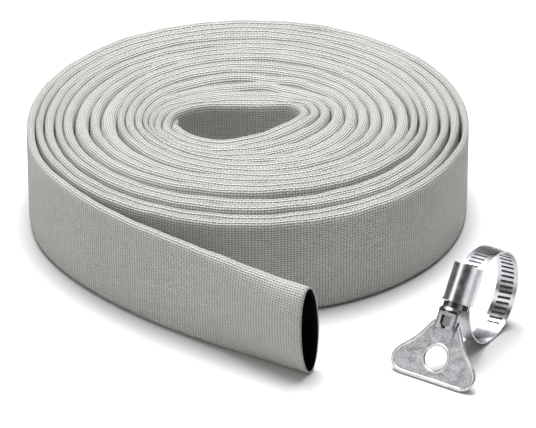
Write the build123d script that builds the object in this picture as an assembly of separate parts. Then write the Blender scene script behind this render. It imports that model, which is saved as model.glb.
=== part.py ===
from build123d import *
import math
import os

os.makedirs("parts", exist_ok=True)

# ---------------------------------------------------------------- dimensions
# Lay-flat hose, all in millimetres.
HOSE_WIDTH = 55.0        # flat width; the roll stands on this edge
HOSE_THICK = 5.0         # thickness of the flattened hose
JACKET_WALL = 1.2        # woven jacket
LINER_WALL = 0.5         # rubber liner bonded inside it
EDGE_R = 1.8             # outside radius of the folded edge
# Roll, measured to the middle of the hose's thickness.
TURNS_QUARTERS = 60      # arcs in the roll; the first and last are half arcs
RHO_IN, RHO_OUT = 15.7, 115.6   # radius of the oval's end arcs, first and last turn
OVAL_IN, OVAL_OUT = 22.5, 1.6   # offset of the end arcs' centres, first and last turn
ROLL_YAW = 30.0          # the eye's long axis, from +X
# Free end: (radius, turn in degrees), then a straight run to the mouth.
TAIL_ARCS = ((119.0, 30.0), (158.0, 12.0), (306.0, 18.0))
TAIL_STRAIGHT = 49.0
MOUTH_W = 15.6           # outside width of the open mouth
MOUTH_H = 54.0           # outside height of the open mouth
# Hose clamp for a 32 to 50 mm range.
BAND_W, BAND_T = 12.0, 0.8
BORE_R = 23.6            # inside radius of the band
SHOULDER_R = 6.0         # bend where the band leaves the housing
FLAT_HALF = 6.5          # half of the flat under the screw
LAYER_GAP = 0.05
TAIL_TIP = 11.3          # the slotted tail's tip, past the housing's middle
HEAD_Q = 24.55           # underside of the band's head layer
SHOULDER_DEG = 75.0      # where the side arcs meet the round part
SLOT_PITCH, SLOT_L, SLOT_W = 2.9, 7.6, 1.3
AXIS_Q = 31.3            # screw axis above the ring's centre
CREST_R, ROOT_R, THREAD_PITCH = 4.9, 3.9, 2.9
HOOD_R, HOOD_T = 6.0, 0.8
HOUSING_Y = (-8.5, 11.2)
KEY_END = 49.9           # far edge of the wing key, from the ring's centre line
KEY_T = 1.6
KEY_HOLE_R, KEY_HOLE_AT = 6.45, 38.0
CLAMP_TILT = 56.0        # the screw axis, down from the ring's top
CLAMP_YAW = -3.0
CLAMP_AT = (174.2, -58.8)  # ring's centre, from the roll's centre


def rot2(v, deg):
    a = math.radians(deg)
    return (v[0] * math.cos(a) - v[1] * math.sin(a), v[0] * math.sin(a) + v[1] * math.cos(a))


# ------------------------------------------------------- centre line of the roll
# The line runs outwards from the inner end. Each arc is (centre, radius, start
# angle, sweep); neighbouring arcs share a tangent.
def roll_arcs():
    arcs = []
    n = TURNS_QUARTERS
    ang = -90.0 + ROLL_YAW           # radial direction of the inner end
    centre = None
    pos = None
    for j in range(n):
        t = j / (n - 1)
        rho = RHO_IN + (RHO_OUT - RHO_IN) * t
        oval = OVAL_IN + (OVAL_OUT - OVAL_IN) * t
        r = rho + (math.sqrt(2.0) * oval if j % 2 == 0 else 0.0)
        sweep_deg = 45.0 if j in (0, n - 1) else 90.0
        u = rot2((1, 0), ang)
        if pos is None:
            centre = rot2((0.0, OVAL_IN), ROLL_YAW)
        else:
            centre = (pos[0] - r * u[0], pos[1] - r * u[1])
        arcs.append((centre, r, ang, sweep_deg))
        ang += sweep_deg
        u = rot2((1, 0), ang)
        pos = (centre[0] + r * u[0], centre[1] + r * u[1])
    return arcs, pos, ang


def tail_arcs(pos, ang):
    arcs = []
    for r, sweep_deg in TAIL_ARCS:
        u = rot2((1, 0), ang)
        centre = (pos[0] - r * u[0], pos[1] - r * u[1])
        arcs.append((centre, r, ang, sweep_deg))
        ang += sweep_deg
        u = rot2((1, 0), ang)
        pos = (centre[0] + r * u[0], centre[1] + r * u[1])
    return arcs, pos, ang


def arc_wire(arcs):
    edges = []
    for (cx, cy), r, a0, sw in arcs:
        u0, u1, u2 = (rot2((1, 0), a0 + f * sw) for f in (0.0, 0.5, 1.0))
        edges.append(ThreePointArc((cx + r * u0[0], cy + r * u0[1], HOSE_WIDTH / 2),
                                   (cx + r * u1[0], cy + r * u1[1], HOSE_WIDTH / 2),
                                   (cx + r * u2[0], cy + r * u2[1], HOSE_WIDTH / 2)))
    return Wire(edges)


def flat_section(inset):
    w = HOSE_THICK - 2 * inset
    h = HOSE_WIDTH - 2 * inset
    return RectangleRounded(w, h, max(EDGE_R - inset, 0.25))


def roll_section(inset):
    """The flat section with each folded corner as two bevels, for the roll."""
    a, b = HOSE_THICK / 2 - inset, HOSE_WIDTH / 2 - inset
    r = max(EDGE_R - inset, 0.4)
    k = r * (1 - math.sqrt(0.5))
    corner = [(a, b - r), (a - k, b - k), (a - r, b)]
    pts = corner + [(-x, y) for x, y in corner[::-1]]
    pts = pts + [(-x, -y) for x, y in pts]
    return make_face(Polyline(pts, close=True))


def swept(arcs, inset_out, inset_in):
    path = arc_wire(arcs)
    start = path @ 0
    tangent = path % 0
    plane = Plane(origin=start, x_dir=Vector(tangent.Y, -tangent.X, 0), z_dir=tangent)
    outer = sweep(plane * roll_section(inset_out), path=path)
    inner = sweep(plane * roll_section(inset_in), path=path)
    return outer - inner


# The mouth end: the flat section opens to a lens over the straight run. Every
# section has the same eight edges: two short flats, four corners, two sides.
def end_section(x, y, half, foot, cx, cz, low, height):
    c45 = math.sqrt(0.5)
    top = low + height

    def P(a, b):
        return (x, y + a, b)
    sx = foot + cx
    edges = [Line(P(-foot, low), P(foot, low))]
    edges.append(ThreePointArc(P(foot, low), P(foot + cx * c45, low + cz * (1 - c45)), P(sx, low + cz)))
    if half - sx < 1e-6:
        edges.append(Line(P(sx, low + cz), P(sx, top - cz)))
    else:
        edges.append(ThreePointArc(P(sx, low + cz), P(half, low + height / 2), P(sx, top - cz)))
    edges.append(ThreePointArc(P(sx, top - cz), P(foot + cx * c45, top - cz * (1 - c45)), P(foot, top)))
    edges.append(Line(P(foot, top), P(-foot, top)))
    edges.append(ThreePointArc(P(-foot, top), P(-foot - cx * c45, top - cz * (1 - c45)), P(-sx, top - cz)))
    if half - sx < 1e-6:
        edges.append(Line(P(-sx, top - cz), P(-sx, low + cz)))
    else:
        edges.append(ThreePointArc(P(-sx, top - cz), P(-half, low + height / 2), P(-sx, low + cz)))
    edges.append(ThreePointArc(P(-sx, low + cz), P(-foot - cx * c45, low + cz * (1 - c45)), P(-foot, low)))
    return Wire(edges)


def mouth_solid(x0, y0, wall):
    half0 = HOSE_THICK / 2 - wall
    r0 = max(EDGE_R - wall, 0.25)
    wires = []
    for s in (0.0, 0.25, 0.5, 0.75, 1.0):
        o = s * s * (3 - 2 * s)                      # how far open
        o = 0.5 * (o + s)
        half = half0 + o * (MOUTH_W / 2 - HOSE_THICK / 2)
        height = (HOSE_WIDTH - 2 * wall) + o * (MOUTH_H - HOSE_WIDTH - 0.6 * wall)
        low = wall + o * 0.3 * wall
        foot = (half0 - r0) + o * (0.55 - (half0 - r0))
        cx = r0 + o * (1.3 - r0)
        cz = r0 + o * (3.0 - r0)
        if s == 0.0:
            half = foot + cx
        wires.append(end_section(x0 + s * TAIL_STRAIGHT, y0, half, foot, cx, cz, low, height))
    return Solid.make_loft(wires, False)


def free_end(arcs, pos, wall_out, wall_in):
    path = arc_wire(arcs)
    tangent = path % 0
    plane = Plane(origin=path @ 0, x_dir=Vector(tangent.Y, -tangent.X, 0), z_dir=tangent)
    outer = sweep(plane * flat_section(wall_out), path=path) + mouth_solid(pos[0], pos[1], wall_out)
    inner = sweep(plane * flat_section(wall_in), path=path) + mouth_solid(pos[0], pos[1], wall_in)
    return outer - inner


# ------------------------------------------------------------------- hose clamp
# Built with the band's axis on X and the screw on top, along Y, then tilted and
# set down. Polar angles are measured from the top (+Z) towards +Y.
def band_side(flat_q, side):
    """Arcs from the housing's flat down to the round part of the band, as
    (bend angle, side radius) for the band's inside face."""
    a = math.radians(SHOULDER_DEG)
    h, q, r1, R = FLAT_HALF, flat_q, SHOULDER_R, BORE_R
    b = q - r1
    k = h * math.sin(a) + b * math.cos(a)
    m = h * h + b * b
    # (r2 - r1)^2 = (r2 - R)^2 + 2 (r2 - R) k + m
    r2 = (R * R - 2 * R * k + m - r1 * r1) / (2 * R - 2 * r1 - 2 * k)
    vx = ((R - r2) * math.sin(a) - h) / (r1 - r2)
    vz = ((R - r2) * math.cos(a) - b) / (r1 - r2)
    return math.atan2(vx, vz), r2


def band_path():
    """Centre line of the strip, from the head under the screw, round the ring
    and back over the head to the slotted tail's tip."""
    m = BAND_T / 2
    q_head = HEAD_Q
    q_tail = q_head + BAND_T + LAYER_GAP
    edges = []

    def pt(y, z):
        return (0.0, y, z)

    def side(q, s):
        phi, r2 = band_side(q, s)
        r1 = SHOULDER_R + m
        c1 = (s * FLAT_HALF, q - SHOULDER_R)
        a_ = math.radians(SHOULDER_DEG)
        f = pt(c1[0], q + m)
        p1 = pt(c1[0] + s * r1 * math.sin(phi / 2), c1[1] + r1 * math.cos(phi / 2))
        p2 = pt(c1[0] + s * r1 * math.sin(phi), c1[1] + r1 * math.cos(phi))
        c2 = (s * (BORE_R - r2) * math.sin(a_), (BORE_R - r2) * math.cos(a_))
        r2m = r2 + m
        am = (phi + a_) / 2
        p3 = pt(c2[0] + s * r2m * math.sin(am), c2[1] + r2m * math.cos(am))
        p4 = pt(c2[0] + s * r2m * math.sin(a_), c2[1] + r2m * math.cos(a_))
        return f, p1, p2, p3, p4, phi, r2

    f, p1, p2, p3, p4, phi, r2 = side(q_head, -1)
    print("clamp head side: bend %.1f deg, side radius %.1f" % (math.degrees(phi), r2))
    edges.append(Line(pt(6.0, q_head + m), f))
    edges.append(ThreePointArc(f, p1, p2))
    edges.append(ThreePointArc(p2, p3, p4))
    g, q1, q2, q3, q4, phi2, r22 = side(q_tail, +1)
    print("clamp tail side: bend %.1f deg, side radius %.1f" % (math.degrees(phi2), r22))
    edges.append(ThreePointArc(p4, pt(0, -(BORE_R + m)), q4))
    edges.append(ThreePointArc(q4, q3, q2))
    edges.append(ThreePointArc(q2, q1, g))
    edges.append(Line(g, pt(-TAIL_TIP, q_tail + m)))
    return Wire(edges), q_head, q_tail


def build_band():
    wire, q_head, q_tail = band_path()
    plane = Plane(origin=wire @ 0, x_dir=(1, 0, 0), z_dir=wire % 0)
    band = sweep(plane * Rectangle(BAND_W, BAND_T), path=wire)
    # The thread's slots: over the tail and round the ring to near the head.
    total = wire.length
    cutters = []
    s = total - 3.0
    first_head = 6.0 + FLAT_HALF
    stop = first_head + math.radians(360 - 2 * SHOULDER_DEG) * BORE_R * 0.30 + 30.0
    while s > stop:
        u = s / total
        p = wire @ u
        t = wire % u
        pl = Plane(origin=p, x_dir=(1, 0, 0), z_dir=t.cross(Vector(1, 0, 0)))
        pl = pl.rotated((0, 0, 6.0))
        cutters.append(pl * (Box(SLOT_L - SLOT_W, SLOT_W, 1.6)
                             + Pos((SLOT_L - SLOT_W) / 2, 0, 0) * Cylinder(SLOT_W / 2, 1.6)
                             + Pos(-(SLOT_L - SLOT_W) / 2, 0, 0) * Cylinder(SLOT_W / 2, 1.6)))
        s -= SLOT_PITCH
    print("slots", len(cutters), "band length", total)
    # A slot through the tail must not reach the head layer below it.
    for c in cutters:
        band = band - c
    return band


def build_housing():
    y0, y1 = HOUSING_Y
    yc, ln = (y0 + y1) / 2, y1 - y0
    q0 = 23.9
    # outside: a hood over the screw on two flared cheeks
    with BuildSketch(Plane.XZ) as outer:
        with BuildLine():
            Polyline((-HOOD_R, AXIS_Q), (-HOOD_R, 29.6), (-7.1, 27.2), (-7.1, q0), (7.1, q0), (7.1, 27.2),
                     (HOOD_R, 29.6), (HOOD_R, AXIS_Q))
            ThreePointArc((HOOD_R, AXIS_Q), (0, AXIS_Q + HOOD_R), (-HOOD_R, AXIS_Q))
        make_face()
    ri = HOOD_R - HOOD_T
    wi = BAND_W / 2 + 0.15
    with BuildSketch(Plane.XZ) as inner:
        with BuildLine():
            Polyline((-ri, AXIS_Q), (-ri, 29.2), (-wi, 27.0), (-wi, q0 - 1), (wi, q0 - 1), (wi, 27.0),
                     (ri, 29.2), (ri, AXIS_Q))
            ThreePointArc((ri, AXIS_Q), (0, AXIS_Q + ri), (-ri, AXIS_Q))
        make_face()
    body = Pos(0, y1, 0) * extrude(outer.sketch, amount=ln)
    body = body - Pos(0, y1 + 1, 0) * extrude(inner.sketch, amount=ln + 2)
    # saddle under the head layer, between the cheeks
    body = body + Pos(0, 0, (q0 - 0.3 + 24.5) / 2) * Box(14.2, 11.6, 24.5 - q0 + 0.3)
    # end walls that carry the screw, clear above the band
    for yy, th, hole in ((y0 + 0.6, 1.2, 3.55), (y1 - 0.5, 1.0, 2.55)):
        wall = Pos(0, yy, AXIS_Q) * Rot(90, 0, 0) * Cylinder(HOOD_R - 0.3, th)
        wall = wall - Pos(0, yy, AXIS_Q) * Rot(90, 0, 0) * Cylinder(hole, th + 1)
        wall = wall - Pos(0, yy, 20.0) * Box(20, 4, 2 * (26.6 - 20.0))
        body = body + wall
    # rolled rim at the key end
    rim = Pos(0, y0 + 0.5, AXIS_Q) * Rot(90, 0, 0) * (Cylinder(HOOD_R + 0.45, 1.0) - Cylinder(HOOD_R - 0.4, 2.0))
    rim = rim - Pos(0, y0, 20.0) * Box(20, 6, 2 * (29.4 - 20.0))
    return body + rim


def build_screw():
    y0, y1 = HOUSING_Y

    def cyl(r, ya, yb):
        return Pos(0, (ya + yb) / 2, AXIS_Q) * Rot(90, 0, 0) * Cylinder(r, abs(yb - ya))
    a, b = y0 + 1.5, y1 - 1.4
    screw = cyl(ROOT_R, a, b) + cyl(3.5, y0 - 0.4, a) + cyl(2.5, b, y1 + 0.3)
    # drum between the housing and the key: plain over the band's tail, then
    # flared towards the key
    drum = cyl(5.05, y0 - 2.9, y0 - 0.3) + Pos(0, y0 - 2.9, AXIS_Q) * Rot(90, 0, 0) * loft(
        [Circle(5.05), Pos(0, 0, 1.6) * Circle(6.2)], ruled=True) + cyl(6.2, y0 - 5.7, y0 - 4.5)
    screw = screw + drum
    # flat shank the key is pressed on
    screw = screw + Pos(0, -17.6, AXIS_Q) * Box(6.2, 7.6, 2.6)
    return screw, a, b


def build_thread(a, b):
    # crest of the worm, one continuous helical rib on the root cylinder
    turns_len = b - a - 2.0
    helix = Helix(THREAD_PITCH, turns_len, ROOT_R, center=(0, 0, 0), direction=(0, 0, 1))
    h = CREST_R - ROOT_R
    plane = Plane(origin=helix @ 0, x_dir=(1, 0, 0), z_dir=helix % 0)
    prof = Polyline((-0.3, -0.75), (h, -0.35), (h, 0.35), (-0.3, 0.75), close=True)
    sec = plane * make_face(prof)
    rib = sweep(sec, path=helix, is_frenet=True)
    return Pos(0, a + 1.0 + turns_len, AXIS_Q) * Rot(90, 0, 0) * rib


def key_outline():
    pts = [(6.2, 18.6), (7.6, 20.4), (9.6, 23.4), (11.2, 26.2), (13.2, 29.2), (15.7, 32.2), (18.9, 35.2),
           (21.6, 38.0), (23.3, 40.6), (23.8, 43.2), (23.1, 45.8), (21.3, 48.2), (18.6, 49.6)]
    right = Spline([(x, -y) for x, y in pts] + [(15.6, -KEY_END)], tangents=((0.55, -0.83), (-1, 0)))
    left = Spline([(-x, -y) for x, y in pts] + [(-15.6, -KEY_END)], tangents=((-0.55, -0.83), (1, 0)))
    bottom = Line((15.6, -KEY_END), (-15.6, -KEY_END))
    top = Line((-6.2, -18.6), (6.2, -18.6))
    return make_face(Wire([right.edge(), bottom.edge(), left.edge(), top.edge()]))


def build_key():
    face = key_outline()
    plate = Pos(0, 0, AXIS_Q - KEY_T / 2) * extrude(face, amount=KEY_T)
    rim = [e for e in plate.edges() if abs(e.center().Z - (AXIS_Q - KEY_T / 2)) < 1e-6 or
           abs(e.center().Z - (AXIS_Q + KEY_T / 2)) < 1e-6]
    rim = [e for e in rim if e.center().Y < -19.0]
    plate = chamfer(rim, 0.3)
    plate = plate - Pos(0, -KEY_HOLE_AT, AXIS_Q) * Cylinder(KEY_HOLE_R, KEY_T + 2)
    plate = chamfer([e for e in plate.edges() if abs(e.length - 2 * math.pi * KEY_HOLE_R) < 0.01], 0.3)
    # sleeve pressed round the shank, blending into the plate
    sleeve = Pos(0, -18.0, AXIS_Q) * Box(11.6, 7.6, 6.2)
    sleeve = fillet(sleeve.edges().filter_by(Axis.Y), 1.6)
    y_a, y_b = -21.8, -27.5
    taper = loft([Plane(origin=(0, y_a, AXIS_Q), x_dir=(1, 0, 0), z_dir=(0, -1, 0)) * RectangleRounded(11.6, 6.2, 1.6),
                  Plane(origin=(0, y_b, AXIS_Q), x_dir=(1, 0, 0), z_dir=(0, -1, 0)) * RectangleRounded(11.6, KEY_T, 0.5)])
    key = plate + sleeve + taper
    # hollow of the sleeve, and its windows
    key = key - Pos(0, -17.6, AXIS_Q) * Box(9.6, 9.6, 4.2)
    key = key - Pos(0, -18.4, AXIS_Q) * Box(5.6, 4.8, 12.0)
    key = key - Pos(0, -20.8, AXIS_Q) * Rot(0, 0, 0) * Cylinder(1.9, 12.0)
    key = key - Pos(0, -19.6, AXIS_Q) * Box(20.0, 3.6, 2.2)
    return key


def place_clamp(shape):
    return Pos(CLAMP_AT[0], CLAMP_AT[1], BORE_R + BAND_T) * Rot(0, 0, CLAMP_YAW) * Rot(CLAMP_TILT, 0, 0) * shape


# ---------------------------------------------------------------------- pieces
def build():
    roll, pos, ang = roll_arcs()
    tail, tail_pos, tail_ang = tail_arcs(pos, ang)
    turn_len = sum(math.radians(s) * r for _, r, _, s in roll)
    tail_len = sum(math.radians(s) * r for _, r, _, s in tail) + TAIL_STRAIGHT
    print("hose: roll %.0f mm, free end %.0f mm, whole %.0f mm" % (turn_len, tail_len, turn_len + tail_len))

    lined = JACKET_WALL + LINER_WALL
    parts = {
        "hose_jacket_roll": swept(roll, 0.0, JACKET_WALL),
        "hose_liner_roll": swept(roll, JACKET_WALL, lined),
        "hose_jacket_tail": free_end(tail, tail_pos, 0.0, JACKET_WALL),
        "hose_liner_tail": free_end(tail, tail_pos, JACKET_WALL, lined),
    }
    band = build_band()
    screw, a, b = build_screw()
    clamp = {
        "clamp_band": band,
        "clamp_housing": build_housing(),
        "worm_screw": screw + build_thread(a, b),
        "wing_key": build_key(),
    }
    for name, shape in clamp.items():
        parts[name] = place_clamp(shape)

    boxes = [p.bounding_box() for p in parts.values()]
    x0, x1 = min(b.min.X for b in boxes), max(b.max.X for b in boxes)
    y0, y1 = min(b.min.Y for b in boxes), max(b.max.Y for b in boxes)
    z0 = min(b.min.Z for b in boxes)
    shift = (-(x0 + x1) / 2, -(y0 + y1) / 2, -z0)
    print("shift to the bottom centre %.4f %.4f %.4f" % shift)
    print("roll centre at %.3f %.3f" % shift[:2])
    print("mouth plane x %.3f, y %.3f" % (tail_pos[0] + TAIL_STRAIGHT + shift[0], tail_pos[1] + shift[1]))
    print("ring centre %.4f %.4f %.4f" % (CLAMP_AT[0] + shift[0], CLAMP_AT[1] + shift[1],
                                                           BORE_R + BAND_T + shift[2]))
    place = Pos(CLAMP_AT[0] + shift[0], CLAMP_AT[1] + shift[1], BORE_R + BAND_T + shift[2]) * Rot(
        0, 0, CLAMP_YAW) * Rot(CLAMP_TILT, 0, 0)
    p0 = (place * Pos(0, 0, AXIS_Q)).position
    p1 = (place * Pos(0, -1, AXIS_Q)).position
    print("screw axis through %.4f %.4f %.4f along %.6f %.6f %.6f" % (p0.X, p0.Y, p0.Z, p1.X - p0.X, p1.Y - p0.Y,
                                                                     p1.Z - p0.Z))
    for name, shape in parts.items():
        moved = Pos(*shift) * shape
        solids = moved.solids()
        if len(solids) != 1:
            print("WARNING", name, "has", len(solids), "solids")
        solid = solids[0] if len(solids) == 1 else Compound(children=list(solids))
        solid.label = name
        export_step(solid, "parts/%s.step" % name)
        bb = moved.bounding_box()
        print("%-18s volume %9.0f  x %.1f..%.1f  y %.1f..%.1f  z %.1f..%.1f" % (
            name, moved.volume, bb.min.X, bb.max.X, bb.min.Y, bb.max.Y, bb.min.Z, bb.max.Z))


if __name__ == "__main__":
    build()
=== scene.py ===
import math

import bpy
import numpy as np
from mathutils import Matrix, Vector


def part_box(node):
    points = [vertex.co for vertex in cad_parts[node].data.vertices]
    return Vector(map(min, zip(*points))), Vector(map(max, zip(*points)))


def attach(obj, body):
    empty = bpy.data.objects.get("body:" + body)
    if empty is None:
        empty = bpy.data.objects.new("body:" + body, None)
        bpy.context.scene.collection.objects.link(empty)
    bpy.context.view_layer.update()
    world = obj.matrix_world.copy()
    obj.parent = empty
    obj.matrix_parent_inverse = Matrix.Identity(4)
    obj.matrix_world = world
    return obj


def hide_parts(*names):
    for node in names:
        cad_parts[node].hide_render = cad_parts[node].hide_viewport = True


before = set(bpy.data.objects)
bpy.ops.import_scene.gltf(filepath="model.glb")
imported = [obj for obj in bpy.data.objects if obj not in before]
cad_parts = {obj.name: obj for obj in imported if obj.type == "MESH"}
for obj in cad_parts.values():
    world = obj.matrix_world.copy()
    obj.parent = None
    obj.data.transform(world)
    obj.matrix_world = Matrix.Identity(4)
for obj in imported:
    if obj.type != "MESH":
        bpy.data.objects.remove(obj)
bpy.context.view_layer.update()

MM = 0.001
# The roll's centre on the floor, in millimetres, and the heading of the eye's
# long side (the left end of the roll, as the camera sees it, is at angle LEFT).
lo_r, hi_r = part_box("hose_jacket_roll")
RC = (-37.8816, 11.5960)
LEFT = 210.0
W = 55.0            # flat width of the hose
JACKET = 1.1        # jacket's wall
LINER = 0.6


def smooth(x):
    x = np.clip(x, 0.0, 1.0)
    return x * x * (3 - 2 * x)


def spline(xs, ys):
    """Natural cubic spline through the points, as a function."""
    xs, ys = np.asarray(xs, float), np.asarray(ys, float)
    n = len(xs)
    h = np.diff(xs)
    A = np.zeros((n, n))
    r = np.zeros(n)
    A[0, 0] = A[-1, -1] = 1
    for i in range(1, n - 1):
        A[i, i - 1], A[i, i], A[i, i + 1] = h[i - 1], 2 * (h[i - 1] + h[i]), h[i]
        r[i] = 6 * ((ys[i + 1] - ys[i]) / h[i] - (ys[i] - ys[i - 1]) / h[i - 1])
    m = np.linalg.solve(A, r)

    def f(x):
        x = np.asarray(x, float)
        i = np.clip(np.searchsorted(xs, x) - 1, 0, n - 2)
        d = x - xs[i]
        a = (m[i + 1] - m[i]) / (6 * h[i])
        c = (ys[i + 1] - ys[i]) / h[i] - h[i] * (2 * m[i] + m[i + 1]) / 6
        return a * d ** 3 + m[i] / 2 * d ** 2 + c * d + ys[i]
    return f


# --------------------------------------------------------------- the roll
# Boundaries between the turns, in mm from the roll's centre. The angle runs
# inwards: 0 is the left end, 90 the back, 180 the right end, 270 the front.
LEFT_B = [117.3, 112.2, 108.0, 102.1, 97.8, 91.6, 83.5, 77.6, 68.6, 64.2, 59.1, 54.0, 49.2, 43.8, 38.1, 33.0, 28.0]
BACK_B = [116.2, 110.6, 104.8, 99.0, 92.6, 86.6, 80.4, 74.2, 68.2, 61.2, 55.2, 49.0, 42.4, 35.2, 28.0, 20.6]
RIGHT_B = [119.0, 114.6, 108.6, 103.2, 96.2, 91.9, 87.2, 79.6, 72.2, 65.6, 59.4, 53.9, 47.0, 40.4, 34.2, 27.4]
FRONT_B = [117.6, 112.6, 108.4, 103.0, 97.6, 92.2, 86.6, 81.0, 75.2, 69.4, 63.6, 58.0, 52.6, 47.2, 42.0, 36.8]
TH, BB = [], []
for j in range(16):
    for k, row in enumerate((LEFT_B, BACK_B, RIGHT_B, FRONT_B)):
        TH.append(360.0 * j + 90.0 * k)
        BB.append(row[j])
TH.append(360.0 * 16)
BB.append(LEFT_B[16])
plain_bound = spline(TH, BB)

# The innermost turns follow the eye's own outline: (angle, mm from the centre).
EYE = [(0, 29.8), (9, 26.7), (21, 22.7), (44, 15.9), (70, 13.8), (98, 14.0), (120, 15.6), (143, 19.8), (153, 25.4), (161, 28.2),
       (173, 29.0), (184, 27.7), (201, 25.0), (221, 24.0), (241, 26.0), (261, 30.4), (275, 35.2), (284, 38.4), (290, 39.8),
       (298, 40.8), (308, 41.0), (320, 40.4), (328, 40.0), (335, 38.8), (347, 34.4), (360, 29.8)]
eye_a = np.arange(0.0, 360.0, 1.0)
eye_r = np.interp(eye_a, [p[0] for p in EYE], [p[1] for p in EYE])
eye_k = np.exp(-0.5 * (np.arange(-12, 13) / 4.0) ** 2)
eye_r = np.convolve(np.concatenate([eye_r[-12:], eye_r, eye_r[:12]]), eye_k / eye_k.sum(), "valid")
EYE_STEP = 5.4


def bound_at(th):
    """Radius of a boundary: the plain spiral outside, turns stacked on the eye's outline inside."""
    th = np.asarray(th, float)
    k = np.floor((th + 10.0) / 360.0)
    part = smooth((th + 10.0 - 360.0 * k) / 35.0)
    layers = 16.0 - k - part
    line = np.interp(np.mod(th, 360.0), np.append(eye_a, 360.0), np.append(eye_r, eye_r[0])) + EYE_STEP * layers
    w = smooth((th / 360.0 - 10.0) / 4.0)
    return (1 - w) * plain_bound(np.minimum(th, 5760.0)) + w * line


# Gaps between turns: (angle of the outer boundary, half width in degrees, mm).
GAPS = [
    (360 - 14, 17, 1.3), (360 + 195, 15, 2.4), (720 + 200, 14, 1.9), (1080 + 190, 11, 1.2),
    (1800 + 192, 16, 0.9), (2160 + 186, 14, 0.7), (2520 + 176, 9, 0.8), (2880 + 172, 8, 0.6),
    (360 * 12 + 188, 16, 0.9), (360 * 13 + 190, 17, 0.9), (360 * 14 + 190, 16, 0.8),
    (720 - 30, 60, 0.5), (1080 - 30, 40, 0.5), (1800 - 20, 40, 0.7), (2160 - 5, 30, 0.5),
    (360 * 6 + 45, 16, 0.9), (360 * 8 + 38, 20, 1.1), (360 * 8 + 120, 25, 0.6),
    (360 * 11 + 85, 12, 3.8), (360 * 12 + 101, 14, 4.6), (360 * 11 + 124, 8, 2.6),
    (360 * 10 + 60, 16, 0.9), (360 * 13 + 60, 24, 0.9), (360 * 14 + 150, 12, 1.2), (360 * 14 + 20, 12, 1.0),
]


def gap_at(th):
    g = np.full_like(np.asarray(th, float), 0.34)
    for c, w, a in GAPS:
        g = g + a * np.exp(-((th - c) / w) ** 2)
    return g


# How high the turn stands above the floor.
LEFT_Z = [0, 0.4, 0.8, 1.4, 2.0, 2.6, 3.0, 3.4, 3.8, 4.0, 4.2, 4.4, 4.4, 4.2, 4.0, 3.8]
BACK_Z = [1.2, 1.2, 1.6, 1.8, 0.6, 0.6, 0.8, 1.0, 0.2, 0.0, 0.0, 0.0, 0.0, 0.0, 0.0, 0.0]
RIGHT_Z = [0.2, 0.6, 1.4, 1.8, 2.2, 2.6, 3.0, 3.2, 3.4, 3.6, 3.8, 3.6, 3.2, 2.8, 2.4, 2.0]
FRONT_Z = [0, 0.2, 3.8, 4.0, 7.8, 8.0, 8.0, 8.0, 7.8, 7.6, 7.4, 7.2, 7.0, 6.6, 6.4, 6.2]
ZH = []
for j in range(16):
    for row in (LEFT_Z, BACK_Z, RIGHT_Z, FRONT_Z):
        ZH.append(row[j])
ZH.append(LEFT_Z[-1])
height_at = spline(TH, ZH)

THETA_END = 360.0 * 15 - 9.0      # inner end, at the eye's left tip

# ----------------------------------------------------------- the free end
# Its curvature falls off smoothly towards the mouth.
TAIL_LEN = 241.5
TURN = 60.0
ds = 0.25
s = np.arange(0.0, TAIL_LEN + ds / 2, ds)
kap = np.interp(s, [0, 45, 80, 115, 150, 190, 225, 260], [0.00844, 0.02596, 0.01277, 0.0081, 0.0081, 0.004, 0, 0])
soft_w = np.exp(-0.5 * (np.arange(-80, 81) * ds / 12.0) ** 2)
kap = np.convolve(np.pad(kap, 80, mode="edge"), soft_w / soft_w.sum(), "valid")
kap *= math.radians(TURN) / (kap.sum() * ds)
a0 = math.radians(LEFT)                      # radial angle at the departure
head = a0 + math.pi / 2 + np.concatenate([[0], np.cumsum(kap[:-1]) * ds])
start_b = float(bound_at(0.0))
start_t = 4.4
r0 = start_b - start_t / 2
tx = RC[0] + r0 * math.cos(a0) + np.concatenate([[0], np.cumsum(np.cos(head[:-1])) * ds])
ty = RC[1] + r0 * math.sin(a0) + np.concatenate([[0], np.cumsum(np.sin(head[:-1])) * ds])
TAIL = dict(s=s, x=tx, y=ty, h=head)
print("tail mouth at", round(float(tx[-1] - RC[0]), 1), round(float(ty[-1] - RC[1]), 1))

# ------------------------------------------------------- stations along the hose
STEP = 2.4
stations = []        # position along, mid x, y, direction outwards, thickness, foot, width, opening, lean
th = THETA_END
along = 0.0
roll = []
while th > 0:
    B0 = float(bound_at(th))
    roll.append(th)
    th -= math.degrees(STEP / max(B0, 20.0))
roll.append(0.0)
roll = np.array(roll)
Bo = bound_at(roll) - np.where(roll >= 360, gap_at(roll) / 2, 0)
Bi = bound_at(roll + 360) + gap_at(roll + 360) / 2
phi = np.radians(LEFT - roll)
mid = (Bo + Bi) / 2
thick = Bo - Bi
rx, ry = RC[0] + mid * np.cos(phi), RC[1] + mid * np.sin(phi)
rnx, rny = np.cos(phi), np.sin(phi)
inner = np.cumsum(np.concatenate([[0], np.hypot(np.diff(rx), np.diff(ry))]))
# the inner end is tucked in lower than the turns round it
foot = np.maximum(height_at(roll) - 4.5 * (1 - smooth(inner / 20.0)), 0.0)
squash = 0.35 + 0.65 * smooth(inner / 18.0)
rx, ry = rx + rnx * thick * (1 - squash) / 2, ry + rny * thick * (1 - squash) / 2
thick = thick * squash
print("roll: thickness %.2f to %.2f mm, turns %d" % (thick.min(), thick.max(), len(roll)))

n_t = int(round(TAIL_LEN / STEP))
ts = np.linspace(0, TAIL_LEN, n_t + 1)[1:]
ttx, tty = np.interp(ts, TAIL["s"], TAIL["x"]), np.interp(ts, TAIL["s"], TAIL["y"])
tty = tty - 3.0 * smooth(ts / TAIL_LEN)
th_h = np.interp(ts, TAIL["s"], TAIL["h"])
tnx, tny = np.sin(th_h), -np.cos(th_h)
t_end = float(thick[-1])
tthick = t_end + (4.2 - t_end) * smooth(ts / 60.0)
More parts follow.
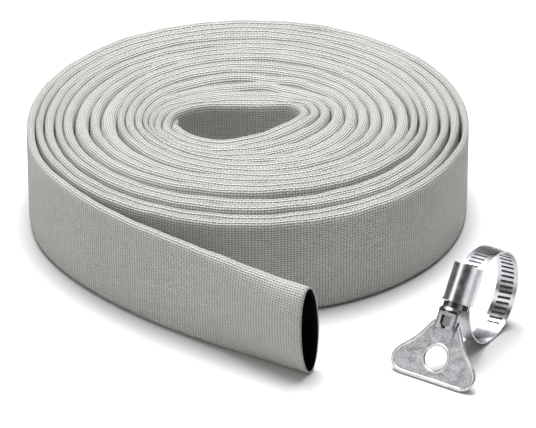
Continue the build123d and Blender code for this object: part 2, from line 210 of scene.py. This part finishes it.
# keep the outer face continuous at the departure
shift0 = (start_b - r0) - t_end / 2
sh = shift0 * (1 - smooth(ts / 60.0))
ttx, tty = ttx + tnx * sh, tty + tny * sh

X = np.concatenate([rx, ttx])
Y = np.concatenate([ry, tty])
NX = np.concatenate([rnx, tnx])
NY = np.concatenate([rny, tny])
T = np.concatenate([thick, tthick])
F = np.concatenate([foot, np.zeros(len(ts))])
OPEN = np.concatenate([np.zeros(len(roll)), smooth((ts - (TAIL_LEN - 92.0)) / 92.0) ** 1.25])
S = np.concatenate([[0], np.cumsum(np.hypot(np.diff(X), np.diff(Y)))])
N = len(X)

rng = np.random.default_rng(7)


def waves(s, amp, lengths):
    out = np.zeros_like(s)
    for L in lengths:
        out += np.sin(2 * math.pi * s / L + rng.uniform(0, 2 * math.pi)) * rng.uniform(0.5, 1.0)
    return out * amp / len(lengths)


TOP_W = waves(S, 0.55, (23.0, 37.0, 61.0, 97.0))
FOOT_W = waves(S, 0.25, (29.0, 47.0, 83.0))
BELLY = waves(S, 0.5, (41.0, 73.0, 118.0))

NV = 44              # points round the section


def stadium(t, w, inset, v, r_z):
    """Point at share v of the way round a flat tube of thickness t and width w,
    inset by that much: v = 0 the middle of the inner face, 0.25 the top."""
    t2, h2 = t / 2 - inset, w / 2 - inset
    rz = np.minimum(r_z - inset * 0.8, h2)
    rz = np.maximum(rz, t2 * 0.8)
    straight = 2 * (h2 - rz)
    arc = math.pi * np.sqrt((t2 ** 2 + rz ** 2) / 2)
    per = 2 * straight + 2 * arc
    d = (v * per)
    x = np.zeros_like(d)
    z = np.zeros_like(d)
    a = d < straight / 2
    x[a], z[a] = -t2[a], d[a]
    b = (~a) & (d < straight / 2 + arc)
    al = (d[b] - straight[b] / 2) / arc[b] * math.pi
    x[b], z[b] = -t2[b] * np.cos(al), (h2 - rz)[b] + rz[b] * np.sin(al)
    c = (~a) & (~b) & (d < straight * 1.5 + arc)
    x[c], z[c] = t2[c], (h2 - rz)[c] - (d[c] - straight[c] / 2 - arc[c])
    e = (~a) & (~b) & (~c) & (d < straight * 1.5 + 2 * arc)
    al = (d[e] - straight[e] * 1.5 - arc[e]) / arc[e] * math.pi
    x[e], z[e] = t2[e] * np.cos(al), -(h2 - rz)[e] - rz[e] * np.sin(al)
    f = (~a) & (~b) & (~c) & (~e)
    x[f], z[f] = -t2[f], -(h2 - rz)[f] + (d[f] - straight[f] * 1.5 - 2 * arc[f])
    return x, z


MOUTH_A, MOUTH_H = 9.5, 51.6     # half width and height of the open mouth, outside
el = np.linspace(0, 2 * math.pi, 721)
el_x, el_z = -MOUTH_A * np.cos(el), MOUTH_H / 2 * np.sin(el)
el_d = np.concatenate([[0], np.cumsum(np.hypot(np.diff(el_x), np.diff(el_z)))])
el_d /= el_d[-1]


def section(i0, i1, inset, v):
    """Points of the sections i0..i1, as (x outwards, z up) arrays."""
    n = i1 - i0
    t, w = T[i0:i1], W - 0.35 * (T[i0:i1] - 4.0)
    o = OPEN[i0:i1]
    px, pz = np.zeros((n, len(v))), np.zeros((n, len(v)))
    for k, vk in enumerate(v):
        vv = np.full(n, vk)
        sx, sz = stadium(t, w, inset, vv, 0.5 * t + 1.8)
        a = np.interp(vk, el_d, el)
        mx = -(MOUTH_A - inset) * math.cos(a)
        mz = (MOUTH_H / 2 - inset) * math.sin(a)
        lean = 1.6 * (mz / 26.0)
        x = sx + (mx - lean * 0 - sx) * o
        z = sz + (mz - sz) * o
        # the top tip leans towards the roll's outside by a few millimetres
        x = x + o * 1.7 * (z / 26.0)
        px[:, k], pz[:, k] = x, z
    wall = np.sin(math.pi * np.clip((pz + 27.5) / 55.0, 0, 1))
    px = px + (BELLY[i0:i1, None] * wall * 0.25) * np.where(S[i0:i1, None] > S[len(roll)], 1.0, 0.0)
    top = smooth((pz - 10) / 16.0)
    low = smooth((-pz - 10) / 16.0)
    hh = w * (1 - o) + MOUTH_H * o
    base = F[i0:i1] + hh / 2
    z = pz + base[:, None] + TOP_W[i0:i1, None] * top + np.maximum(FOOT_W[i0:i1, None] + 0.2, 0) * low
    return px, z


def tube(name, outer, inner, i0=0, i1=N, cap=True):
    """A closed tube wall between two insets, with a UV map of real lengths."""
    v = (np.arange(NV) + 0.5) / NV
    n = i1 - i0
    verts = []
    for inset in (outer, inner):
        px, z = section(i0, i1, inset, v)
        x = X[i0:i1, None] + px * NX[i0:i1, None]
        y = Y[i0:i1, None] + px * NY[i0:i1, None]
        verts.append(np.stack([x, y, np.maximum(z, 0.05)], -1) * MM)
    A = np.concatenate([verts[0].reshape(-1, 3), verts[1].reshape(-1, 3)])
    off = n * NV
    i = np.arange(n - 1)[:, None]
    k = np.arange(NV)[None, :]
    k2 = (k + 1) % NV
    out = np.stack([i * NV + k, i * NV + k2, (i + 1) * NV + k2, (i + 1) * NV + k], -1).reshape(-1, 4)
    inn = np.stack([off + i * NV + k, off + (i + 1) * NV + k, off + (i + 1) * NV + k2, off + i * NV + k2],
                   -1).reshape(-1, 4)
    kk = np.arange(NV)
    kk2 = (kk + 1) % NV
    e0 = np.stack([kk, off + kk, off + kk2, kk2], -1)
    b = (n - 1) * NV
    e1 = np.stack([b + kk, b + kk2, off + b + kk2, off + b + kk], -1)
    faces = np.concatenate([out, inn, e0, e1])
    me = bpy.data.meshes.new(name)
    me.vertices.add(len(A))
    me.vertices.foreach_set("co", A.ravel())
    me.loops.add(faces.size)
    me.loops.foreach_set("vertex_index", faces.ravel())
    me.polygons.add(len(faces))
    me.polygons.foreach_set("loop_start", np.arange(0, faces.size, 4))
    me.polygons.foreach_set("loop_total", np.full(len(faces), 4))
    me.update(calc_edges=True)
    # UV: u along the hose and v round it, in metres
    round_len = 0.1144
    sv = S[i0:i1] * MM
    uv = np.zeros((len(faces), 4, 2))
    vi = faces % off
    uv[:, :, 0] = sv[vi // NV]
    kv = vi % NV
    vv = (kv + 0.5) / NV
    wrap = (kv == 0) & (kv.max(axis=1, keepdims=True) == NV - 1)
    vv = np.where(wrap, vv + 1.0, vv)
    uv[:, :, 1] = vv * round_len
    lay = me.uv_layers.new(name="weave")
    lay.data.foreach_set("uv", uv.ravel())
    me.polygons.foreach_set("use_smooth", np.ones(len(faces), bool))
    me.validate()
    o = bpy.data.objects.new(name, me)
    bpy.context.scene.collection.objects.link(o)
    return o


# --------------------------------------------------------------- materials
JACKET_DARK, JACKET_MID, JACKET_LIGHT = (0.565, 0.565, 0.505, 1), (0.668, 0.666, 0.620, 1), (0.755, 0.750, 0.712, 1)


def new_mat(name):
    m = bpy.data.materials.new(name)
    m.use_nodes = True
    nt = m.node_tree
    bsdf = nt.nodes["Principled BSDF"]
    return m, nt, bsdf


class Nodes:
    def __init__(self, nt):
        self.nt = nt

    def put(self, value, socket):
        if isinstance(value, (int, float)):
            socket.default_value = value
        elif isinstance(value, (tuple, list)):
            socket.default_value = value
        else:
            self.nt.links.new(value, socket)

    def math(self, op, a, b=None, c=None, clamp=False):
        n = self.nt.nodes.new("ShaderNodeMath")
        n.operation = op
        n.use_clamp = clamp
        self.put(a, n.inputs[0])
        if b is not None:
            self.put(b, n.inputs[1])
        if c is not None:
            self.put(c, n.inputs[2])
        return n.outputs[0]

    def noise(self, vec, scale, detail=3.0, rough=0.5):
        n = self.nt.nodes.new("ShaderNodeTexNoise")
        n.inputs["Scale"].default_value = scale
        n.inputs["Detail"].default_value = detail
        n.inputs["Roughness"].default_value = rough
        if vec is not None:
            self.nt.links.new(vec, n.inputs["Vector"])
        return n.outputs["Fac"]

    def ramp(self, fac, stops):
        n = self.nt.nodes.new("ShaderNodeValToRGB")
        el = n.color_ramp.elements
        el[0].position, el[0].color = stops[0][0], stops[0][1]
        el[1].position, el[1].color = stops[-1][0], stops[-1][1]
        for p, c in stops[1:-1]:
            e = el.new(p)
            e.color = c
        self.nt.links.new(fac, n.inputs[0])
        return n.outputs["Color"]

    def mix(self, fac, a, b, mode="MIX"):
        n = self.nt.nodes.new("ShaderNodeMix")
        n.data_type = "RGBA"
        n.blend_type = mode
        self.put(fac, n.inputs[0])
        self.put(a, n.inputs[6])
        self.put(b, n.inputs[7])
        return n.outputs[2]

    def bump(self, height, strength, distance, normal=None):
        n = self.nt.nodes.new("ShaderNodeBump")
        n.inputs["Strength"].default_value = strength
        n.inputs["Distance"].default_value = distance
        self.nt.links.new(height, n.inputs["Height"])
        if normal is not None:
            self.nt.links.new(normal, n.inputs["Normal"])
        return n.outputs["Normal"]

    def coords(self, kind="Object"):
        n = self.nt.nodes.new("ShaderNodeTexCoord")
        return n.outputs[kind]

    def uv(self, name):
        n = self.nt.nodes.new("ShaderNodeUVMap")
        n.uv_map = name
        sep = self.nt.nodes.new("ShaderNodeSeparateXYZ")
        self.nt.links.new(n.outputs["UV"], sep.inputs[0])
        return sep.outputs[0], sep.outputs[1], n.outputs["UV"]


BEAD, ROW = 0.00165, 0.1144 / 88      # beads along the hose, rows of beads round it


def woven():
    m, nt, b = new_mat("woven_jacket")
    g = Nodes(nt)
    u, v, uvv = g.uv("weave")
    # slow wander of the yarns
    wob = g.noise(uvv, 120.0, 2.0)
    wob2 = g.noise(uvv, 700.0, 1.0)
    u2 = g.math("ADD", u, g.math("MULTIPLY_ADD", g.math("SUBTRACT", wob, 0.5), 0.0006,
                                 g.math("MULTIPLY", g.math("SUBTRACT", wob2, 0.5), 0.0004)))
    c = g.math("DIVIDE", v, ROW)
    row = g.math("FLOOR", c)
    odd = g.math("FLOORED_MODULO", row, 2.0)
    a = g.math("DIVIDE", u2, BEAD)
    slant = g.math("MULTIPLY", g.math("SINE", g.math("MULTIPLY", c, 2 * math.pi)), 0.12)
    rows = g.math("POWER", g.math("ABSOLUTE", g.math("SINE", g.math("MULTIPLY", c, math.pi))), 0.8)
    beads = g.math("POWER", g.math("ABSOLUTE", g.math("COSINE", g.math("MULTIPLY", g.math("ADD", a, slant), math.pi))), 0.8)
    h = g.math("MULTIPLY", g.math("MULTIPLY_ADD", rows, 0.8, 0.2), g.math("MULTIPLY_ADD", beads, 0.72, 0.28))
    # along the folded edges every other bead stands up
    fold = g.math("ABSOLUTE", g.math("SUBTRACT", g.math("FLOORED_MODULO", g.math("DIVIDE", v, 0.0572), 1.0), 0.5))
    edge = nt.nodes.new("ShaderNodeMapRange")
    edge.inputs["From Min"].default_value, edge.inputs["From Max"].default_value = 0.085, 0.03
    nt.links.new(fold, edge.inputs["Value"])
    pair = g.math("ADD", g.math("MULTIPLY", a, 0.5), g.math("MULTIPLY", odd, 0.5))
    pair = g.math("ABSOLUTE", g.math("COSINE", g.math("MULTIPLY", pair, math.pi)))
    lift = g.math("MULTIPLY", g.math("MULTIPLY", edge.outputs["Result"], 0.9), g.math("SUBTRACT", pair, 0.55))
    h = g.math("ADD", h, g.math("MULTIPLY", lift, rows))
    fine = g.noise(uvv, 3000.0, 2.0, 0.6)
    h2 = g.math("MULTIPLY_ADD", g.math("SUBTRACT", fine, 0.5), 0.4, h)
    big = g.noise(g.coords("Object"), 28.0, 4.0, 0.55)
    spot = g.noise(g.coords("Object"), 210.0, 3.0, 0.6)
    tone = g.math("MULTIPLY_ADD", g.math("SUBTRACT", big, 0.5), 0.22,
                  g.math("MULTIPLY_ADD", g.math("SUBTRACT", spot, 0.5), 0.2, 0.5))
    base = g.ramp(tone, [(0.34, JACKET_DARK), (0.5, JACKET_MID), (0.66, JACKET_LIGHT)])
    # the weave's height also darkens the colour: painted shade in the hollows between beads and rows, and in the gaps
    # at the folded edges
    shade = g.math("MULTIPLY_ADD", h2, 1.42, 0.07, clamp=True)
    n = nt.nodes.new("ShaderNodeCombineColor")
    for k in range(3):
        nt.links.new(shade, n.inputs[k])
    col = g.mix(1.0, base, n.outputs[0], "MULTIPLY")
    nt.links.new(col, b.inputs["Base Color"])
    nrm = g.bump(h2, 1.0, 0.0008)
    soft = g.noise(g.coords("Object"), 70.0, 2.0)
    nrm = g.bump(soft, 0.12, 0.004, nrm)
    nt.links.new(nrm, b.inputs["Normal"])
    b.inputs["Roughness"].default_value = 0.85
    b.inputs["Specular IOR Level"].default_value = 0.25
    b.inputs["Sheen Weight"].default_value = 0.12
    b.inputs["Sheen Roughness"].default_value = 0.5
    return m


def rubber():
    m, nt, b = new_mat("liner_rubber")
    g = Nodes(nt)
    u, v, uvv = g.uv("weave")
    n1 = g.noise(g.coords("Object"), 160.0, 4.0)
    col = g.ramp(n1, [(0.3, (0.0008, 0.0008, 0.0009, 1)), (0.7, (0.0024, 0.0024, 0.0026, 1))])
    nt.links.new(col, b.inputs["Base Color"])
    rib = g.math("SINE", g.math("MULTIPLY", u, 2 * math.pi / 0.0017))
    nrm = g.bump(g.math("MULTIPLY_ADD", n1, 0.6, g.math("MULTIPLY", rib, 0.2)), 0.25, 0.0002)
    nt.links.new(nrm, b.inputs["Normal"])
    b.inputs["Roughness"].default_value = 0.8
    b.inputs["Specular IOR Level"].default_value = 0.07
    return m


def steel(name, lo, hi, rough, brush=(1, 1, 1), bump=0.05, mottled=False, metallic=1.0):
    m, nt, b = new_mat(name)
    g = Nodes(nt)
    mp = nt.nodes.new("ShaderNodeMapping")
    nt.links.new(g.coords("Object"), mp.inputs["Vector"])
    mp.inputs["Scale"].default_value = brush
    n1 = g.noise(mp.outputs["Vector"], 260.0, 5.0, 0.6)
    n2 = g.noise(g.coords("Object"), 1400.0 if mottled else 90.0, 3.0, 0.6)
    t = g.math("MULTIPLY_ADD", g.math("SUBTRACT", n2, 0.5), 0.9 if mottled else 0.3, n1)
    col = g.ramp(t, [(0.3, (*lo, 1)), (0.7, (*hi, 1))])
    nt.links.new(col, b.inputs["Base Color"])
    r = nt.nodes.new("ShaderNodeMapRange")
    r.inputs["From Min"].default_value, r.inputs["From Max"].default_value = 0.3, 0.7
    r.inputs["To Min"].default_value, r.inputs["To Max"].default_value = rough[0], rough[1]
    nt.links.new(t, r.inputs["Value"])
    nt.links.new(r.outputs["Result"], b.inputs["Roughness"])
    nrm = g.bump(t, bump, 0.0003)
    nt.links.new(nrm, b.inputs["Normal"])
    b.inputs["Metallic"].default_value = metallic
    return m


def assign(o, m):
    o.data.materials.clear()
    o.data.materials.append(m)


# ------------------------------------------------------------------ pieces
jacket_mat, rubber_mat = woven(), rubber()
jacket = tube("hose_jacket", 0.0, JACKET)
assign(jacket, jacket_mat)
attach(jacket, "hose")
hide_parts("hose_jacket_roll", "hose_jacket_tail")

liner = tube("hose_liner", JACKET + 0.02, JACKET + LINER)
assign(liner, rubber_mat)
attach(liner, "hose")
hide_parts("hose_liner_roll", "hose_liner_tail")

band_mat = steel("band_steel", (0.43, 0.43, 0.44), (0.61, 0.61, 0.625), (0.22, 0.34), brush=(0.35, 0.35, 0.35), bump=0.05)
hood_mat = steel("housing_steel", (0.44, 0.44, 0.45), (0.66, 0.66, 0.665), (0.26, 0.40), bump=0.12)
# near-black steel: painted shade for the deep windows of the key's sleeve; it darkens the screw's collar too
screw_shade_mat = steel("screw_steel_painted_shade", (0.10, 0.10, 0.10), (0.22, 0.22, 0.22), (0.25, 0.4))
key_mat = steel("key_zinc", (0.25, 0.25, 0.272), (0.60, 0.60, 0.64), (0.36, 0.5), mottled=True, bump=0.5)
# lighter copy of the key's zinc: painted highlight on the rolled rims
rim_highlight_mat = steel("key_rim_zinc_painted_highlight", (0.50, 0.50, 0.515), (0.78, 0.78, 0.80), (0.24, 0.38), bump=0.1)
for node, mat in (("clamp_band", band_mat), ("clamp_housing", hood_mat), ("worm_screw", screw_shade_mat),
                  ("wing_key", key_mat)):
    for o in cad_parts[node] if isinstance(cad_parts[node], (list, tuple)) else [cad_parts[node]]:
        if len(o.material_slots) == 0:
            o.data.materials.append(mat)
        for sl in o.material_slots:
            sl.material = mat

# Rolled rims of the wing key's plate, in the clamp's own frame. Their zinc is a lighter copy of the key's: a painted
# highlight along the edges.
CLAMP_M = Matrix.Translation((0.1363184, -0.0472040, 0.0244)) @ Matrix.Rotation(math.radians(-3.0), 4, "Z") @ Matrix.Rotation(
    math.radians(56.0), 4, "X")
AXIS_Q = 31.3


def rim_tube(path, closed, rad, ns=12):
    """Vertices and faces of a round rim along a path in the key's plane (mm)."""
    p = np.asarray(path, float)
    n = len(p)
    if closed:
        d = np.roll(p, -1, 0) - np.roll(p, 1, 0)
    else:
        d = np.gradient(p, axis=0)
    d /= np.linalg.norm(d, axis=1)[:, None]
    nrm = np.stack([-d[:, 1], d[:, 0]], -1)
    ang = np.arange(ns) / ns * 2 * math.pi
    pts = []
    for j in range(n):
        for t in ang:
            q = p[j] + nrm[j] * rad * math.cos(t)
            pts.append((q[0], q[1], AXIS_Q + rad * 1.0 * math.sin(t)))
    fs = []
    for j in range(n if closed else n - 1):
        k = (j + 1) % n
        for i in range(ns):
            i2 = (i + 1) % ns
            fs.append((j * ns + i, k * ns + i, k * ns + i2, j * ns + i2))
    if not closed:
        fs.append(tuple(range(ns)))
        fs.append(tuple(reversed([(n - 1) * ns + i for i in range(ns)])))
    return pts, fs


half = [(6.9, 19.6), (7.6, 20.4), (9.6, 23.4), (11.2, 26.2), (13.2, 29.2), (15.7, 32.2), (18.9, 35.2), (21.6, 38.0),
        (23.3, 40.6), (23.8, 43.2), (23.1, 45.8), (21.3, 48.2), (18.6, 49.6), (15.6, 49.9)]
ks = np.arange(len(half))
fx, fy = spline(ks, [p[0] for p in half]), spline(ks, [p[1] for p in half])
kk = np.linspace(0, len(half) - 1, 79)
right = np.stack([fx(kk), -fy(kk)], -1)
whole = np.concatenate([right, right[::-1] * [-1, 1]])
d = np.gradient(whole, axis=0)
d /= np.linalg.norm(d, axis=1)[:, None]
whole = whole + np.stack([d[:, 1], -d[:, 0]], -1) * 0.7
P1, F1 = rim_tube(whole, False, 1.1)
tt = np.arange(72) / 72 * 2 * math.pi
P2, F2 = rim_tube(np.stack([7.1 * np.cos(tt), -38.0 + 7.1 * np.sin(tt)], -1), True, 1.0)
rim_me = bpy.data.meshes.new("key_rim")
rim_me.from_pydata([CLAMP_M @ (Vector(p) * MM) for p in P1 + P2], [], F1 + [tuple(len(P1) + i for i in f) for f in F2])
rim_me.polygons.foreach_set("use_smooth", np.ones(len(rim_me.polygons), bool))
rim_me.validate()
key_rim = bpy.data.objects.new("key_rim", rim_me)
bpy.context.scene.collection.objects.link(key_rim)
rim_me.materials.append(rim_highlight_mat)
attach(key_rim, "screw")

# Pressed bottoms of the band's slots: a thin strip inside the band's thickness, coloured near-black as painted shade
# in the slots.
SHOULDER, FLAT_H, BEND_R, BORE = math.radians(75.0), 6.5, 6.0, 23.6


def side_arc(q):
    """Bend angle and radius of the band's side between the housing and the ring."""
    b = q - BEND_R
    k = FLAT_H * math.sin(SHOULDER) + b * math.cos(SHOULDER)
    r2 = (BORE ** 2 - 2 * BORE * k + FLAT_H ** 2 + b * b - BEND_R ** 2) / (2 * BORE - 2 * BEND_R - 2 * k)
    vx = ((BORE - r2) * math.sin(SHOULDER) - FLAT_H) / (BEND_R - r2)
    vz = ((BORE - r2) * math.cos(SHOULDER) - b) / (BEND_R - r2)
    return math.atan2(vx, vz), r2


def ring_path(off):
    """The band's line at that height above its inside face, as (y, z) points."""
    out = []
    for q, sg in ((25.4, 1), (24.55, -1)):
        ph, r2 = side_arc(q)
        pts = [(sg * ((BORE - r2) * math.sin(SHOULDER) + (r2 + off) * math.sin(t)),
                (BORE - r2) * math.cos(SHOULDER) + (r2 + off) * math.cos(t)) for t in np.linspace(ph, SHOULDER, 41)[:-1]]
        out.append(pts)
    ring = [((BORE + off) * math.sin(t), (BORE + off) * math.cos(t)) for t in np.linspace(SHOULDER, 2 * math.pi - SHOULDER, 121)]
    return out[0] + ring + out[1][::-1]


ga = ring_path(0.0)
gv, gf = [], []
for off in (0.33, 0.5):
    for y, z in ring_path(off):
        for x in (-4.4, 4.4):
            gv.append(CLAMP_M @ (Vector((x, y, z)) * MM))
ng = len(ga)
for j in range(ng - 1):
    a, b, c, d4 = 2 * j, 2 * j + 1, 2 * j + 3, 2 * j + 2
    gf += [(a, b, c, d4), tuple(2 * ng + i for i in (d4, c, b, a)), (a, d4, 2 * ng + d4, 2 * ng + a),
           (c, b, 2 * ng + b, 2 * ng + c)]
gf += [(0, 2 * ng, 2 * ng + 1, 1), (2 * ng - 2, 2 * ng - 1, 4 * ng - 1, 4 * ng - 2)]
groove_me = bpy.data.meshes.new("band_grooves")
groove_me.from_pydata(gv, [], gf)
groove_me.validate()
grooves = bpy.data.objects.new("band_grooves", groove_me)
bpy.context.scene.collection.objects.link(grooves)
# near-black steel: painted shade inside the pressed slots
groove_me.materials.append(steel("groove_painted_shade", (0.035, 0.035, 0.038), (0.10, 0.10, 0.105), (0.5, 0.65)))
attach(grooves, "clamp")

# ------------------------------------------------------------------- stage
floor_me = bpy.data.meshes.new("floor")
R = 6.0
floor_me.from_pydata([(-R, -R, -0.0002), (R, -R, -0.0002), (R, R, -0.0002), (-R, R, -0.0002)], [], [(0, 1, 2, 3)])
floor = bpy.data.objects.new("floor", floor_me)
bpy.context.scene.collection.objects.link(floor)
fm, fnt, fb = new_mat("pale_floor")
fb.inputs["Base Color"].default_value = (0.70, 0.70, 0.70, 1)
fb.inputs["Roughness"].default_value = 0.7
fb.inputs["Specular IOR Level"].default_value = 0.2
floor_me.materials.append(fm)

world = bpy.data.worlds.new("studio")
world.use_nodes = True
bpy.context.scene.world = world
wn = world.node_tree
wg = Nodes(wn)
sep = wn.nodes.new("ShaderNodeSeparateXYZ")
wn.links.new(wg.coords("Generated"), sep.inputs[0])
side = wg.math("MULTIPLY_ADD", sep.outputs[0], 5.2, wg.math("MULTIPLY", sep.outputs[1], -3.1))
strips = wg.math("MULTIPLY_ADD", wg.math("SINE", side), 0.5, 0.5)
sky = wg.ramp(sep.outputs[2], [(0.0, (0.06, 0.06, 0.054, 1)), (0.10, (0.012, 0.012, 0.0115, 1)), (0.42, (0.024, 0.024, 0.0225, 1)),
                               (0.62, (0.30, 0.30, 0.31, 1)), (1.0, (0.36, 0.36, 0.37, 1))])
cards = wg.ramp(strips, [(0.35, (0.25, 0.25, 0.26, 1)), (0.7, (1.5, 1.5, 1.5, 1))])
wn.links.new(wg.mix(1.0, sky, cards, "MULTIPLY"), wn.nodes["Background"].inputs[0])
wn.nodes["Background"].inputs[1].default_value = 1.0


def area(name, loc, target, size, power, colour=(1, 1, 1)):
    L = bpy.data.lights.new(name, "AREA")
    L.color = colour
    L.energy = power
    L.shape = "RECTANGLE"
    L.size = size
    L.size_y = size
    o = bpy.data.objects.new(name, L)
    bpy.context.scene.collection.objects.link(o)
    o.location = loc
    d = Vector(target) - Vector(loc)
    o.rotation_mode = "QUATERNION"
    o.rotation_quaternion = d.to_track_quat("-Z", "Y")
    return o


# The camera looks from azimuth 30 degrees; lights are set in its frame.
AZ = math.radians(30.0)
RIGHT = Vector((math.cos(AZ), math.sin(AZ), 0))
AWAY = Vector((-math.sin(AZ), math.cos(AZ), 0))
C0 = Vector((RC[0] * MM, RC[1] * MM, 0))


def at(r, a, z):
    return C0 + RIGHT * r + AWAY * a + Vector((0, 0, z))


area("top_light", at(0.0, 0.3, 1.7), at(0, 0, 0), 1.0, 60.0, (0.97, 0.975, 1.0))
area("left_light", at(-0.95, -1.05, 0.75), at(0, 0, 0.02), 0.8, 5.4, (1.0, 0.985, 0.93))
area("right_light", at(1.4, 0.5, 0.8), at(0.1, 0, 0.02), 0.7, 1.5, (1.0, 0.99, 0.95))

bpy.context.scene.view_settings.view_transform = "Standard"
bpy.context.scene.view_settings.look = "None"

# ------------------------------------------------------------------ camera
cam_data = bpy.data.cameras.new("camera")
cam_data.sensor_width = 36.0
cam_data.lens = 3882.97 / 536 * 36.0
cam = bpy.data.objects.new("camera", cam_data)
bpy.context.scene.collection.objects.link(cam)
tgt = Vector(((39.8 + RC[0]) * MM, (-45.7 + RC[1]) * MM, 27.5 * MM))
pos = Vector(((930.6 + RC[0]) * MM, (-1588.6 + RC[1]) * MM, 1015.1 * MM))
cam.location = pos
cam.rotation_mode = "QUATERNION"
cam.rotation_quaternion = (tgt - pos).to_track_quat("-Z", "Y")
cam_data.clip_start, cam_data.clip_end = 0.05, 50.0
bpy.context.scene.camera = cam
